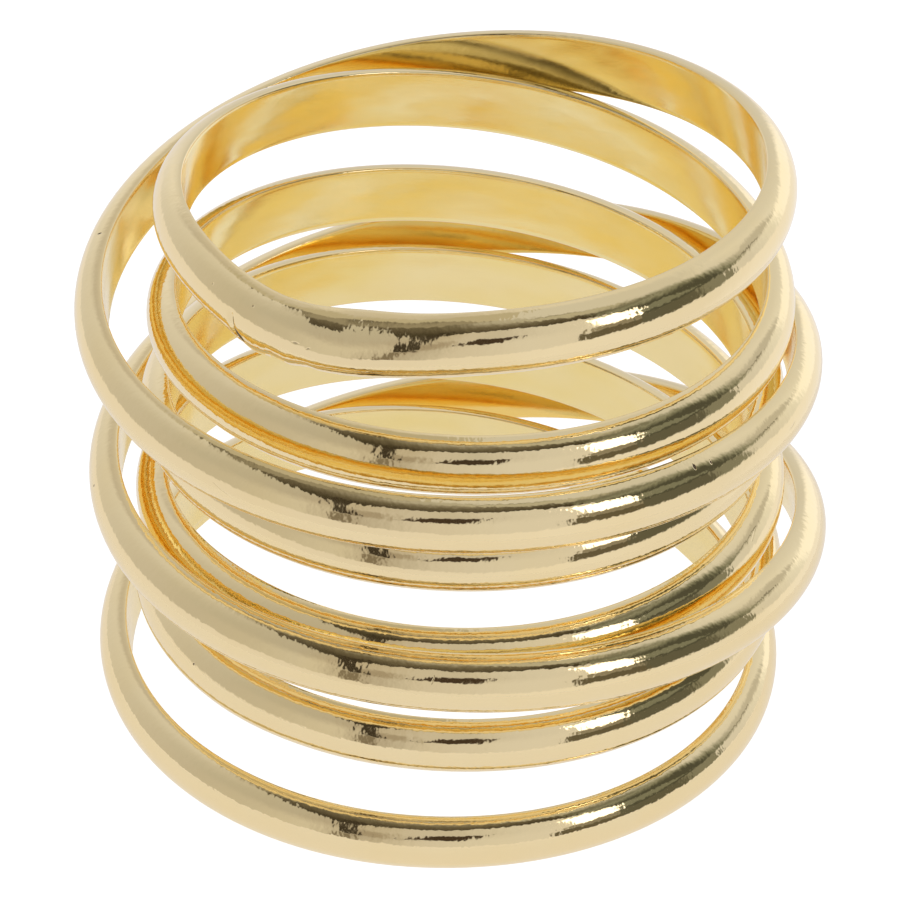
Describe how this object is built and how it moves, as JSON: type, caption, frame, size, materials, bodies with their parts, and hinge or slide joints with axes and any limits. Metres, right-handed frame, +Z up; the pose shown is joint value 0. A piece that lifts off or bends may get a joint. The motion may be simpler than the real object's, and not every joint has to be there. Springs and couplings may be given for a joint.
{
  "type": "layered ring",
  "caption": "Finger ring wound from one half-round gold band: stacked turns on the finger with further turns crossing over them, closed on itself.",
  "frame": {"origin": "on the surface that the ring lies on, under the middle of its box", "axes": "+Z up through the finger hole, +X to the right and -Y to the front, where the band's joint is a little left of the front of the top turn"},
  "size_m": [0.0222, 0.022, 0.0195],
  "materials": {
    "gold_plate": "pale gold plating, polished on the domed outside and satin on the flat inside"
  },
  "bodies": {
    "root": {"wound_band": "gold_plate"}
  },
  "joints": []
}
